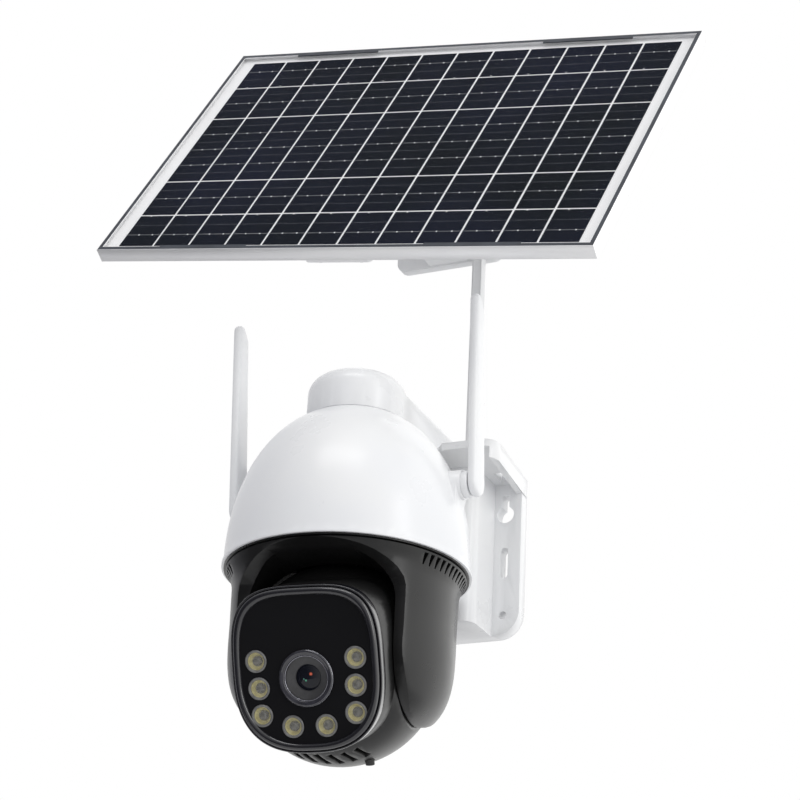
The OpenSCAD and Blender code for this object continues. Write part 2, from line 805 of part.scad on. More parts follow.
module lens_barrel() {
    color([0.1, 0.1, 0.1]) at_head() difference() {
        union() {
            along_y(10.1, -face_y + 0.4, -face_y + 5.8);
            along_y(7, -face_y + 4, -26);
            translate([0, -24.4, 0]) cube([18, 4, 18], center = true);
        }
        rotate([90, 0, 0]) translate([0, 0, face_y - 2.6]) cylinder(r1 = 6.4, r2 = 9.4, h = 3);
        along_y(6.05, -face_y + 1, -30);
    }
}
module lens_glass() {
    color([0.05, 0.06, 0.1]) at_head() intersection() {
        along_y(6, -face_y + 1.2, -31);
        translate([0, -face_y + 14, 0]) sphere(11.6, $fn = 64);
    }
}
module main_board() {
    color("darkgreen") at_head() {
        translate([0, -21.4, 3]) cube([56, 1.6, 50], center = true);
        translate([0, -18.6, 6]) cube([16, 4, 16], center = true);
        translate([-18, -19.1, -10]) cube([12, 3, 9], center = true);
        translate([17, -18.1, 16]) cube([10, 5, 8], center = true);
    }
}
module speaker() {
    color([0.15, 0.15, 0.16]) at_head() translate([0, 4, -22]) {
        cylinder(r = 14, h = 4);
        translate([0, 0, 4]) cylinder(r = 8, h = 5);
    }
}
module head_axles() {
    color("silver") at_head() both_sides() difference() {
        along_x(axle_d / 2 - 0.02, 31, tilt_gear_x + tilt_gear_t + 1.5);
        along_x(2.5, 28, 60);
    }
}
module tilt_gear() {
    color("ivory") at_head() mirror([1, 0, 0]) difference() {
        side_view(tilt_gear_x, tilt_gear_x + tilt_gear_t)
            rotate([0, 0, 90 - head_tilt]) gear_2d(tilt_mod, tilt_teeth);
        along_x(axle_d / 2, tilt_gear_x - 1, tilt_gear_x + 10);
    }
}
module head_screws() {
    color("silver") at_head() for (p = screw_places) translate([p[0], 0, p[1]]) {
        along_y(2.4, -bezel_back - 2, -bezel_back);
        along_y(1.23, -bezel_back - 1, -36);
    }
}
module reset_button() {
    color([0.15, 0.15, 0.15]) at_head() translate([button_at[0], button_at[1], 0]) {
        translate([0, 0, button_low]) cylinder(r = 2.2, h = 10);
        translate([0, 0, button_flange]) cylinder(r = 3.4, h = 1.2);
    }
}

// Rail that sets the panel bracket above the camera bracket
module link_rail() {
    color("white") difference() {
        union() {
            translate([link_x - link_bar / 2, -11, wall_top]) cube([link_bar, link_bar, 156]);
            translate([link_x - 6, -16, wall_top]) cube([16.5, 16, 3]);
        }
        translate([foot_screw_x, -8, wall_top - 1]) cylinder(d = 3.4, h = 5);
        for (z = link_holes) translate([link_x, 0, z]) along_y(1.7, -20, 0);
    }
}
module rail_screws() {
    color("silver") {
        translate([foot_screw_x, -8, 0]) {
            translate([0, 0, wall_top - 10]) cylinder(d = 3.26, h = 13.5);
            translate([0, 0, wall_top + 3]) cylinder(d = 6, h = 2);
        }
        for (z = link_holes) translate([link_x, 0, z]) {
            along_y(2.9, -13, -11);
            along_y(1.64, -12, -2);
        }
    }
}
module panel_bracket() {
    color("white") difference() {
        translate([pivot[0], 0, 0]) {
            translate([0, 0, panel_plate_z]) front_view(-5, 0) rounded(panel_plate_w, panel_plate_h, 6);
            translate([-collar_r, pivot[1], shelf_z]) cube([2 * collar_r, -pivot[1] - 2, shelf_t]);
            translate([0, pivot[1], shelf_z]) cylinder(r = collar_r, h = shelf_t);
            translate([0, pivot[1], shelf_z]) cylinder(r = pin_r, h = 32);
        }
        for (sx = [-1, 1], sz = [-1, 1])
            translate([pivot[0] + sx * 26, 0, panel_plate_z + 6 + sz * 18]) along_y(2.6, -10, 2);
        for (z = link_holes) translate([link_x, 0, z]) along_y(1.65, -20, 1);
    }
}
module swivel_collar() {
    color("white") at_pivot() difference() {
        union() {
            translate([0, 0, -collar_half]) cylinder(r = collar_r, h = 2 * collar_half);
            both_sides() side_view(cheek_gap, cheek_gap + cheek_t) {
                translate([-link, 0]) circle(9);
                translate([-link, -9]) square([link - 4, 18]);
            }
        }
        translate([0, 0, -12]) cylinder(r = pin_r + 0.05, h = 24);
        translate([0, -link, 0]) along_x(bolt_d / 2 + 0.05, -20, 20);
        along_y(2.5, 4, 24);
    }
}
module collar_knob() {
    color([0.1, 0.1, 0.1]) at_pivot() {
        along_y(2.45, pin_r + 0.3, 13);
        along_y(6.5, 12.6, 19);
        for (a = [0:60:300]) rotate([0, a, 0]) translate([5.8, 0, 0]) along_y(1.8, 12.6, 19);
    }
}
module tilt_knuckle() {
    color("white") at_tilt() difference() {
        union() {
            along_x(knuckle_r, -cheek_gap + 0.1, cheek_gap - 0.1);
            translate([-cheek_gap + 0.1, -knuckle_r, 0])
                cube([2 * cheek_gap - 0.2, 2 * knuckle_r, strap_z - table_t]);
            translate([0, 0, strap_z - 0.3 - table_t]) cylinder(r = table_r, h = table_t);
            translate([0, 0, strap_z - 1]) cylinder(r = spigot_r, h = 2.8);
        }
        along_x(bolt_d / 2 + 0.05, -20, 20);
    }
}
module tilt_bolt() {
    color("silver") at_pivot() translate([0, -link, 0]) {
        along_x(bolt_d / 2, -16, 20);
        side_view(-16.5, -11.4) rotate([0, 0, 30]) circle(r = 7.4, $fn = 6);
    }
}
module wing_nut() {
    color([0.1, 0.1, 0.1]) at_pivot() translate([0, -link, 0]) difference() {
        union() {
            along_x(6.5, 11.5, 18);
            side_view(13, 17.4) rotate([0, 0, 35]) rounded(27, 6, 2.9);
        }
        along_x(bolt_d / 2, 8, 30);
    }
}

// Solar panel
module panel_strap() {
    color("silver") at_panel() difference() {
        translate([0, 0, -panel_t - strap_t]) linear_extrude(strap_t) {
            rounded(strap_w, panel_h - 4, 3);
            circle(r = table_r + 4);
        }
        translate([0, 0, -panel_t - strap_t - 1]) cylinder(r = spigot_r + 0.05, h = strap_t + 2);
        for (s = [-1, 1], t = [-1, 1]) translate([s * strap_screw_x, t * (panel_h / 2 - strap_screw_in), -20])
            cylinder(d = 4.2, h = 20);
    }
}
module strap_screws() {
    color("silver") at_panel() for (s = [-1, 1], t = [-1, 1])
        translate([s * strap_screw_x, t * (panel_h / 2 - strap_screw_in), 0]) {
            translate([0, 0, -panel_t - strap_t - 2]) cylinder(d = 7, h = 2);
            translate([0, 0, -panel_t - strap_t - 1]) cylinder(d = 3.96, h = strap_t + rail_wall + 1);
        }
}
// One frame rail along X, from its outside edge at y = 0 inwards, mitred at both ends
module rail(len, holes) {
    difference() {
        intersection() {
            translate([-len / 2, 0, -panel_t]) {
                cube([len, rail_wall, panel_t]);
                translate([0, 0, panel_t - lip_t]) cube([len, flange, lip_t]);
                translate([0, 0, panel_t - lip_t - glass_t - cell_t - sheet_t - 1]) cube([len, 6, 1]);
                cube([len, foot_flange, rail_wall]);
            }
            translate([0, 0, -panel_t - 1]) linear_extrude(panel_t + 2) polygon([
                [-len / 2, 0], [len / 2, 0], [len / 2 - 20, 20], [-len / 2 + 20, 20]
            ]);
        }
        if (holes) for (s = [-1, 1]) translate([s * strap_screw_x, strap_screw_in, -panel_t - 1])
            cylinder(d = 4, h = 4);
    }
}
module frame_long_rails() {
    color("gainsboro") at_panel() for (a = [0, 180]) rotate([0, 0, a])
        translate([0, -panel_h / 2, 0]) rail(panel_w, true);
}
module frame_short_rails() {
    color("gainsboro") at_panel() for (a = [90, 270]) rotate([0, 0, a])
        translate([0, -panel_w / 2, 0]) rail(panel_h, false);
}
module corner_keys() {
    color("gray") at_panel() for (sx = [0, 1], sy = [0, 1]) mirror([sx, 0, 0]) mirror([0, sy, 0])
        translate([-panel_w / 2 + rail_wall + 0.02, -panel_h / 2 + rail_wall + 0.02, -panel_t + rail_wall + 0.02])
            linear_extrude(1.4) {
                square([20, 3.4]);
                square([3.4, 20]);
            }
}
module panel_layer(inset, top, thick) {
    translate([0, 0, top - thick / 2])
        cube([panel_w - 2 * inset, panel_h - 2 * inset, thick], center = true);
}
module panel_glass() {
    color([0.8, 0.9, 1, 0.3]) at_panel() panel_layer(rail_wall + 0.1, -lip_t, glass_t);
}
// Distance from the lowest row of cells to the start of row r
function row_start(r) = r == 0 ? 0 : row_start(r - 1) + row_heights[r - 1] + row_gap;

module solar_cells() {
    pitch = (panel_w - 2 * side_margin + cell_gap) / cell_cols;
    half = (row_start(len(row_heights)) - row_gap) / 2;
    color("midnightblue") at_panel() for (c = [0:cell_cols - 1], r = [0:len(row_heights) - 1])
        translate([-panel_w / 2 + side_margin + c * pitch, row_start(r) - half, back_z + sheet_t])
            cube([pitch - cell_gap, row_heights[r], cell_t - 0.02]);
}
module back_sheet() {
    color("white") at_panel() panel_layer(rail_wall + 0.1, -lip_t - glass_t - cell_t - 0.02, sheet_t - 0.04);
}
module junction_box() {
    color([0.08, 0.08, 0.08]) at_panel() translate([box_x, box_y, back_z - box_t]) difference() {
        linear_extrude(box_t - 0.02) rounded(box_w, box_h, 4);
        translate([0, 0, -1]) linear_extrude(box_t - 1) rounded(box_w - 5, box_h - 5, 3);
        translate([0, 0, box_t / 2]) along_y(4.5, -40, 0);
    }
}
module junction_lid() {
    color([0.12, 0.12, 0.12]) at_panel() translate([box_x, box_y, back_z - box_t - 2.5])
        linear_extrude(2.48) rounded(box_w, box_h, 4);
}
module panel_gland() {
    color([0.1, 0.1, 0.1]) at_panel() translate([box_x, box_y, back_z - box_t / 2]) difference() {
        union() {
            along_y(4.45, -box_h / 2 - 5, -box_h / 2 + 3.6);
            along_y(5.6, -box_h / 2 - 10, -box_h / 2 - 0.02);
        }
        along_y(2.2, -40, 0);
    }
}

wall_bracket();
cable_bush();
dome_cover();
dome_base();
dome_screws();
battery_cells();
battery_holder();
power_board();
pan_motor();
pan_pinion();
slip_ring();
pan_bearing_outer();
pan_bearing_inner();
pan_hub();
pan_gear();
antenna_hubs();
antenna_pins();
antenna_left();
antenna_right();
yoke();
arm_covers();
tilt_bushes();
tilt_motor();
tilt_pinion();
yoke_screws();
head_shell();
head_bezel();
front_window();
led_lenses();
led_chips();
led_board();
heat_sink();
lens_ring();
lens_barrel();
lens_glass();
main_board();
speaker();
head_axles();
tilt_gear();
head_screws();
reset_button();
link_rail();
rail_screws();
panel_bracket();
swivel_collar();
collar_knob();
tilt_knuckle();
tilt_bolt();
wing_nut();
panel_strap();
frame_long_rails();
frame_short_rails();
corner_keys();
panel_glass();
solar_cells();
back_sheet();
junction_box();
junction_lid();
panel_gland();
strap_screws();
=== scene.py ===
"""Solar-powered pan-and-tilt security camera: finishes, lamps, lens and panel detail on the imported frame."""
import json
import math

import bmesh
import bpy
from mathutils import Matrix, Vector


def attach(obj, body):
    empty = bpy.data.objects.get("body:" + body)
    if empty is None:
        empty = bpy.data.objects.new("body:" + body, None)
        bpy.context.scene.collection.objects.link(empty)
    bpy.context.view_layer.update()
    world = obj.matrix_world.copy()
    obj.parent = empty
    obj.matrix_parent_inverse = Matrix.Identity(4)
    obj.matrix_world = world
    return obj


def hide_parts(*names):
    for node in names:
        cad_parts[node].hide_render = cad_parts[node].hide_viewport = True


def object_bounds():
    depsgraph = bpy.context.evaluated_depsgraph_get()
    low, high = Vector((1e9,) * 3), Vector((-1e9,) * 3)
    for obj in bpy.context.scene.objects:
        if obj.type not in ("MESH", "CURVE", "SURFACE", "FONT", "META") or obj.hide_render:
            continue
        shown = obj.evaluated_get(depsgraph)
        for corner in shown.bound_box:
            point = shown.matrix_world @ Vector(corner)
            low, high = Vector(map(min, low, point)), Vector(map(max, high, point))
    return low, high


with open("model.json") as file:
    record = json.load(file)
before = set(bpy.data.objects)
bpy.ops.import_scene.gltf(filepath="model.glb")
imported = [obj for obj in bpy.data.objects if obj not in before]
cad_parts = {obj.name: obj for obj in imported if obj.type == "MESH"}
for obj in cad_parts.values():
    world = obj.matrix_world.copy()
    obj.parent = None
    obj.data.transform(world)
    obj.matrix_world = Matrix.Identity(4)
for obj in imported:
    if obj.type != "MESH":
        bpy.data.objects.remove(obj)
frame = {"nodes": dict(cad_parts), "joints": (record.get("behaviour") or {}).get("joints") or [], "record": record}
cad_box = [list(corner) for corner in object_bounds()]

# ---------------------------------------------------------------- places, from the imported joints
MM = Matrix.Scale(0.001, 4)
JOINTS = {joint["name"]: joint for joint in frame["joints"]}


def turned(angle, axis):
    return Matrix.Rotation(angle, 4, axis)


def joint_place(name):
    return Matrix.Translation(JOINTS[name]["pos_m"])


def heading(name):
    """Angle about +Z of a joint's level axis."""
    axis = JOINTS[name]["axis"]
    return math.atan2(axis[1], axis[0])


PANEL_TURN = math.radians(-10.8)
PANEL_STACK = 0.034
PANEL_SLOPE = math.acos(JOINTS["panel_roll"]["axis"][2])
HEAD_SLOPE = math.acos(JOINTS["reset_button_press"]["axis"][2])

# Each place takes millimetres in a piece's own frame to metres in the object's frame
DOME = joint_place("head_pan") @ MM
YOKE = joint_place("head_pan") @ turned(heading("head_tilt"), "Z") @ MM
HEAD = joint_place("head_tilt") @ turned(heading("head_tilt"), "Z") @ turned(HEAD_SLOPE, "X") @ MM
PANEL = (
    joint_place("panel_tilt") @ turned(heading("panel_tilt"), "Z") @ turned(PANEL_SLOPE, "X")
    @ turned(PANEL_TURN, "Z") @ Matrix.Translation((0, 0, PANEL_STACK)) @ MM
)
LOCAL = Matrix.Identity(4)

# ---------------------------------------------------------------- sizes in millimetres
FACE_HALF_W = 36.7
FACE_HALF_H = 39.2
FACE_RISE = 4.2
FACE_TOP_POWER = 3.5
FACE_LOW_POWER = 2.6
WINDOW_Y = -53.6
LENS_RING_R = 13.2
LENS_CONE_R = 10.2
LENS_GLASS_R = 6.05
LENS_DEPTH = 27.0
LAMP_RING_R = 5.35
LAMP_CUP_R = 4.12
LAMP_CORE_R = 2.5
BLADE_X = 64.1
BLADE_THICK = 4.6
BLADE_EDGE = 1.9
BLADE_FOOT = 6.8
BLADE_LENGTH = 101.0
# Each round is the (y, z, radius) of a corner of the blade's outline
BLADE_ROUNDS = [(0.0, 0.0, BLADE_FOOT), (-2.0, BLADE_LENGTH - 3.6, 3.6), (1.8, BLADE_LENGTH - 7.8, 3.1)]
LEAN_LEFT = 7
LEAN_RIGHT = 4
LAMP_PLACES = [
    (-24.4, 8.7), (24.4, 8.7), (-23.7, -4.1), (23.7, -4.1),
    (-23.0, -16.8), (23.0, -16.8), (-8.2, -22.3), (8.2, -22.3),
]
PANEL_W = 290.0
PANEL_H = 193.0
SIDE_MARGIN = 10.3
CELL_COLUMNS = 12
CELL_GAP = 1.4
ROW_HEIGHTS = [27, 30.5, 61, 30.5, 26]
ROW_GAP = 1.3
CELL_TOP = -2.219
BUSBARS = [[0.36], [0.49], [0.25, 0.5, 0.75], [0.49], [0.64]]
DOT_ROWS = [[0.68], [0.24, 0.75], [0.12, 0.38, 0.62, 0.88], [0.25, 0.76], [0.32]]
DOTS_PER_CELL = 15
SOLDER_PLACES = (0.37, 0.78)
NOTCH_PLACE = -0.17
RIBBON_THICK = 0.016
SEAL_OUTER = 0.3
SEAL_INNER = 2.5
SEAL_WIDE = 3.6
SEAL_TOP = 0.03
SEAL_LOW = -0.4
SEAL_WIDE_LOW = -0.58
STRIP_STARTS = (-105.6, 52.2)
STRIP_LENGTH = 53.4


# ---------------------------------------------------------------- materials
# Sockets of a Mix node that mixes colours
MIX_FACTOR, MIX_FIRST, MIX_SECOND, MIX_RESULT = 0, 6, 7, 2


class Finish:
    """One material: a Principled shader, with helpers for noise-driven detail on object coordinates."""

    def __init__(self, name, colour, roughness, metallic=0.0, coat=0.0, coat_roughness=0.05, specular=0.5):
        self.material = bpy.data.materials.new(name)
        self.material.use_nodes = True
        self.nodes = self.material.node_tree.nodes
        self.links = self.material.node_tree.links
        self.shader = self.nodes["Principled BSDF"]
        self.set("Base Color", (*colour, 1.0))
        self.set("Roughness", roughness)
        self.set("Metallic", metallic)
        self.set("Coat Weight", coat)
        self.set("Coat Roughness", coat_roughness)
        self.set("Specular IOR Level", specular)
        self.coordinates = self.nodes.new("ShaderNodeTexCoord").outputs["Object"]

    def set(self, socket, value):
        self.shader.inputs[socket].default_value = value
        return self

    def noise(self, scale, detail=3.0, stretch=(1, 1, 1)):
        mapping = self.nodes.new("ShaderNodeMapping")
        mapping.inputs["Scale"].default_value = stretch
        self.links.new(self.coordinates, mapping.inputs["Vector"])
        noise = self.nodes.new("ShaderNodeTexNoise")
        noise.inputs["Scale"].default_value = scale
        noise.inputs["Detail"].default_value = detail
        self.links.new(mapping.outputs["Vector"], noise.inputs["Vector"])
        return noise.outputs["Fac"]

    def shades(self, low, high, scale, stretch=(1, 1, 1)):
        """The colour drifts between two shades."""
        ramp = self.nodes.new("ShaderNodeValToRGB")
        ramp.color_ramp.elements[0].position = 0.35
        ramp.color_ramp.elements[0].color = (*low, 1)
        ramp.color_ramp.elements[1].position = 0.65
        ramp.color_ramp.elements[1].color = (*high, 1)
        self.links.new(self.noise(scale, 4.0, stretch), ramp.inputs["Fac"])
        self.links.new(ramp.outputs["Color"], self.shader.inputs["Base Color"])
        return self

    def worn(self, low, high, scale, stretch=(1, 1, 1)):
        """The roughness drifts between two values, as handling and moulding leave it."""
        reach = self.nodes.new("ShaderNodeMapRange")
        reach.inputs["From Min"].default_value = 0.3
        reach.inputs["From Max"].default_value = 0.7
        reach.inputs["To Min"].default_value = low
        reach.inputs["To Max"].default_value = high
        self.links.new(self.noise(scale, 5.0, stretch), reach.inputs["Value"])
        self.links.new(reach.outputs["Result"], self.shader.inputs["Roughness"])
        return self

    def glints(self, spots):
        """Painted reflections of the lens coating: coloured spots painted into the base colour, each a (head-frame
        point, radius, colour) spot on a dark ground.
        """
        colour = None
        for place, radius, tint in spots:
            away = self.nodes.new("ShaderNodeVectorMath")
            away.operation = "DISTANCE"
            self.links.new(self.coordinates, away.inputs[0])
            away.inputs[1].default_value = HEAD @ Vector(place)
            fade = self.nodes.new("ShaderNodeMapRange")
            fade.interpolation_type = "SMOOTHSTEP"
            fade.inputs["From Min"].default_value = radius * 0.0002
            fade.inputs["From Max"].default_value = radius * 0.001
            fade.inputs["To Min"].default_value = 1
            fade.inputs["To Max"].default_value = 0
            self.links.new(away.outputs["Value"], fade.inputs["Value"])
            blend = self.nodes.new("ShaderNodeMix")
            blend.data_type = "RGBA"
            blend.inputs[MIX_FIRST].default_value = (0.006, 0.007, 0.012, 1)
            if colour:
                self.links.new(colour, blend.inputs[MIX_FIRST])
            blend.inputs[MIX_SECOND].default_value = (*tint, 1)
            self.links.new(fade.outputs["Result"], blend.inputs[MIX_FACTOR])
            colour = blend.outputs[MIX_RESULT]
        self.links.new(colour, self.shader.inputs["Base Color"])
        return self

    def grain(self, scale, depth, stretch=(1, 1, 1)):
        """A fine moulded or brushed grain, depth in metres."""
        bump = self.nodes.new("ShaderNodeBump")
        bump.inputs["Strength"].default_value = 1.0
        bump.inputs["Distance"].default_value = depth
        self.links.new(self.noise(scale, 2.0, stretch), bump.inputs["Height"])
        self.links.new(bump.outputs["Normal"], self.shader.inputs["Normal"])
        return self


def make_finishes():
    """Every finish by name; grains and colour drift are all procedural."""
    white = Finish("white_gloss_moulding", (0.80, 0.81, 0.82), 0.36, coat=0.18, coat_roughness=0.2)
    white.shades((0.79, 0.80, 0.82), (0.83, 0.835, 0.84), 14).worn(0.26, 0.36, 40).grain(900, 0.000012)
    powder = Finish("white_powder_coat", (0.78, 0.79, 0.80), 0.5)
    powder.shades((0.77, 0.78, 0.79), (0.81, 0.815, 0.82), 30).worn(0.42, 0.58, 120).grain(1600, 0.00004)
    satin = Finish("black_satin_moulding", (0.009, 0.009, 0.009), 0.3, specular=0.42)
    satin.shades((0.007, 0.007, 0.0072), (0.010, 0.010, 0.010), 22).worn(0.27, 0.35, 60).grain(2200, 0.000012)
    gloss = Finish("black_gloss_rim", (0.009, 0.009, 0.012), 0.18, coat=0.9, coat_roughness=0.1)
    gloss.worn(0.15, 0.24, 70).grain(1500, 0.000004)
    window = Finish("black_window", (0.0085, 0.0085, 0.0095), 0.12, specular=0.12)
    window.shades((0.008, 0.008, 0.009), (0.0095, 0.0095, 0.0105), 18).worn(0.1, 0.16, 18)
    nylon = Finish("black_nylon", (0.022, 0.022, 0.023), 0.55)
    nylon.shades((0.018, 0.018, 0.019), (0.028, 0.028, 0.029), 40).worn(0.48, 0.64, 90).grain(1800, 0.00003)
    rubber = Finish("black_rubber", (0.03, 0.03, 0.03), 0.8)
    rubber.shades((0.022, 0.022, 0.022), (0.04, 0.04, 0.04), 60).grain(1500, 0.00004)
    steel = Finish("plated_steel", (0.6, 0.6, 0.61), 0.3, metallic=1.0)
    steel.shades((0.52, 0.52, 0.54), (0.66, 0.66, 0.65), 120).worn(0.22, 0.4, 300)
    bearing = Finish("ground_steel", (0.68, 0.68, 0.69), 0.18, metallic=1.0)
    bearing.worn(0.12, 0.26, 500, (1, 1, 8))
    brass = Finish("turned_brass", (0.78, 0.58, 0.26), 0.28, metallic=1.0)
    brass.shades((0.70, 0.50, 0.20), (0.82, 0.63, 0.30), 90).worn(0.2, 0.36, 240, (6, 1, 1))
    acetal = Finish("natural_acetal", (0.82, 0.80, 0.72), 0.42)
    acetal.shades((0.79, 0.77, 0.69), (0.86, 0.84, 0.77), 60).worn(0.36, 0.5, 140)
    green = Finish("green_board", (0.02, 0.14, 0.06), 0.35, coat=0.3)
    green.shades((0.012, 0.10, 0.045), (0.03, 0.19, 0.09), 260, (1, 3, 1)).worn(0.28, 0.45, 200)
    pale_board = Finish("white_board", (0.8, 0.81, 0.8), 0.4)
    pale_board.shades((0.76, 0.77, 0.76), (0.84, 0.85, 0.84), 200).worn(0.34, 0.5, 150)
    sleeve = Finish("cell_sleeve", (0.05, 0.28, 0.2), 0.28, coat=0.4)
    sleeve.shades((0.04, 0.24, 0.17), (0.07, 0.33, 0.24), 25, (1, 0.2, 1)).worn(0.2, 0.36, 60)
    lamp_ring = Finish("lamp_ring", (0.13, 0.13, 0.13), 0.3, coat=0.5)
    lamp_ring.shades((0.11, 0.11, 0.11), (0.17, 0.17, 0.165), 300).worn(0.24, 0.38, 200)
    lamp_cup = Finish("lamp_phosphor", (0.62, 0.54, 0.18), 0.35)
    lamp_cup.shades((0.52, 0.45, 0.14), (0.74, 0.67, 0.30), 420).worn(0.28, 0.42, 300)
    lamp_core = Finish("lamp_core", (0.075, 0.07, 0.06), 0.22, coat=0.6)
    lamp_core.shades((0.055, 0.053, 0.045), (0.10, 0.095, 0.08), 500)
    lamp_cap = Finish("lamp_cap", (0.9, 0.9, 0.88), 0.08, coat=0.4)
    lamp_cap.set("Alpha", 0.06).worn(0.05, 0.14, 260)
    ring = Finish("lens_ring_metal", (0.025, 0.025, 0.032), 0.14, coat=1.0, coat_roughness=0.03)
    ring.shades((0.018, 0.018, 0.024), (0.034, 0.034, 0.044), 150).worn(0.1, 0.2, 260)
    bead = Finish("lens_bead", (0.40, 0.40, 0.44), 0.2, metallic=1.0)
    bead.worn(0.12, 0.24, 240)
    cone = Finish("lens_cone", (0.028, 0.028, 0.03), 0.4)
    cone.shades((0.04, 0.04, 0.042), (0.06, 0.06, 0.063), 120).worn(0.38, 0.52, 200)
    glass = Finish("lens_glass", (0.006, 0.007, 0.012), 0.05, coat=0.15, coat_roughness=0.02, specular=0.3)
    # Painted reflections: red and green spots painted into the lens glass's base colour stand for its coating's
    # reflections
    glass.glints([((1.7, -51.9, 1.7), 1.0, (0.75, 0.16, 0.09)), ((-0.8, -52.1, -1.2), 0.7, (0.10, 0.42, 0.26)),
                  ((-1.8, -52.0, -0.5), 0.5, (0.16, 0.4, 0.34))])
    iris = Finish("lens_iris", (0.03, 0.02, 0.022), 0.3)
    iris.shades((0.02, 0.013, 0.015), (0.05, 0.025, 0.02), 300)
    sink = Finish("plain_aluminium", (0.6, 0.6, 0.61), 0.4, metallic=1.0)
    sink.shades((0.54, 0.54, 0.55), (0.66, 0.66, 0.67), 60, (1, 1, 6)).worn(0.32, 0.5, 200, (1, 1, 8))
    anodised = Finish("anodised_frame", (0.88, 0.88, 0.885), 0.4, metallic=0.55)
    anodised.shades((0.85, 0.85, 0.865), (0.91, 0.91, 0.915), 12).worn(0.32, 0.46, 160, (1, 12, 1))
    anodised.grain(1400, 0.00001, (1, 14, 14))
    seal = Finish("edge_seal", (0.022, 0.028, 0.040), 0.35)
    seal.shades((0.016, 0.021, 0.032), (0.034, 0.042, 0.058), 90).worn(0.3, 0.45, 150)
    cover_glass = Finish("cover_glass", (0.10, 0.12, 0.16), 0.06, specular=0.16)
    cover_glass.set("Alpha", 0.025).worn(0.04, 0.1, 30)
    silicon = Finish("cell_silicon", (0.008, 0.009, 0.014), 0.34, specular=0.012)
    silicon.shades((0.005, 0.0065, 0.0085), (0.0085, 0.010, 0.021), 9).worn(0.28, 0.42, 500)
    wire = Finish("busbar_ribbon", (0.13, 0.135, 0.145), 0.4, specular=0.2)
    wire.shades((0.09, 0.095, 0.105), (0.17, 0.175, 0.185), 260)
    solder = Finish("solder_joint", (0.85, 0.86, 0.88), 0.35)
    solder.shades((0.75, 0.76, 0.78), (0.95, 0.96, 0.97), 900)
    finger = Finish("finger_print", (0.20, 0.21, 0.23), 0.5, specular=0.1)
    finger.shades((0.15, 0.16, 0.18), (0.26, 0.27, 0.29), 300)
    sheet = Finish("white_film", (0.95, 0.95, 0.95), 0.45)
    sheet.shades((0.94, 0.94, 0.945), (0.97, 0.97, 0.975), 25).worn(0.38, 0.52, 80)
    return {name: value.material for name, value in locals().items()}


FINISH = make_finishes()

NODE_FINISHES = {
    "white": "wall_bracket dome_cover antenna_left antenna_right antenna_hubs",
    "powder": "link_rail panel_bracket swivel_collar tilt_knuckle",
    "satin": "dome_base yoke arm_covers head_shell",
    "gloss": "head_bezel",
    "window": "front_window",
    "nylon": "battery_holder slip_ring pan_hub lens_barrel collar_knob wing_nut speaker "
             "junction_box junction_lid panel_gland",
    "rubber": "cable_bush reset_button",
    "steel": "dome_screws pan_motor antenna_pins tilt_motor yoke_screws head_axles head_screws "
             "rail_screws tilt_bolt strap_screws",
    "bearing": "pan_bearing_outer pan_bearing_inner",
    "brass": "tilt_bushes",
    "acetal": "pan_pinion pan_gear tilt_pinion tilt_gear",
    "green": "power_board main_board",
    "pale_board": "led_board",
    "sleeve": "battery_cells",
    "lamp_cup": "led_chips",
    "lamp_cap": "led_lenses",
    "ring": "lens_ring",
    "glass": "lens_glass",
    "sink": "heat_sink corner_keys",
    "anodised": "panel_strap frame_long_rails frame_short_rails",
    "cover_glass": "panel_glass",
    "silicon": "solar_cells",
    "sheet": "back_sheet",
}


def dress_nodes():
    """Gives every carried-over CAD node its finish."""
    for finish, names in NODE_FINISHES.items():
        for name in names.split():
            data = frame["nodes"][name].data
            data.materials.clear()
            data.materials.append(FINISH[finish])


BODY_OF = {
    node: body
    for body, nodes in frame["record"]["behaviour"]["bodies"].items()
    for node in nodes
}
SLOT_OF = {part["node"]: part["material_slot"] for part in frame["record"]["subparts"]}


# ---------------------------------------------------------------- mesh helpers
def evaluated(piece):
    """The piece's mesh with its modifiers applied, as a new plain mesh."""
    depsgraph = bpy.context.evaluated_depsgraph_get()
    return bpy.data.meshes.new_from_object(piece.evaluated_get(depsgraph))


def linked(name, mesh):
    piece = bpy.data.objects.new(name, mesh)
    bpy.context.scene.collection.objects.link(piece)
    return piece


def settle(piece, finish, body, slot, replaced=(), sharp=30):
    """Last step for each piece: its finish, its shading and the body that it rides on; the CAD nodes that it
    replaces are hidden.
    """
    mesh = piece.data
    mesh.materials.clear()
    mesh.materials.append(FINISH[finish])
    mesh.polygons.foreach_set("use_smooth", [True] * len(mesh.polygons))
    mesh.set_sharp_from_angle(angle=math.radians(sharp))
    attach(piece, body)
    if replaced:
        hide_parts(*replaced)
    return piece


def finished(node, finish, edge, steps=2, angle=28, merge=True):
    """A merged copy of a CAD node with its hard edges eased by edge millimetres."""
    name = node + "_finished"
    source = frame["nodes"][node]
    work = bmesh.new()
    work.from_mesh(source.data)
    bmesh.ops.remove_doubles(work, verts=work.verts, dist=2e-6)
    if merge:
        bmesh.ops.dissolve_limit(work, angle_limit=math.radians(0.2), verts=work.verts, edges=work.edges)
    mesh = bpy.data.meshes.new(name)
    work.to_mesh(mesh)
    work.free()
    piece = linked(name, mesh)
    ease = piece.modifiers.new("ease", "BEVEL")
    ease.width = edge * 0.001
    ease.segments = steps
    ease.limit_method = "ANGLE"
    ease.angle_limit = math.radians(angle)
    ease.harden_normals = True
    piece.data.polygons.foreach_set("use_smooth", [True] * len(mesh.polygons))
    result = evaluated(piece)
    piece.modifiers.clear()
    piece.data = result
    return settle(piece, finish, BODY_OF[node], SLOT_OF[node], (node,), sharp=35)


def from_bmesh(name, work, place):
    bmesh.ops.recalc_face_normals(work, faces=work.faces)
    mesh = bpy.data.meshes.new(name)
    work.to_mesh(mesh)
    work.free()
    mesh.transform(place)
    return linked(name, mesh)


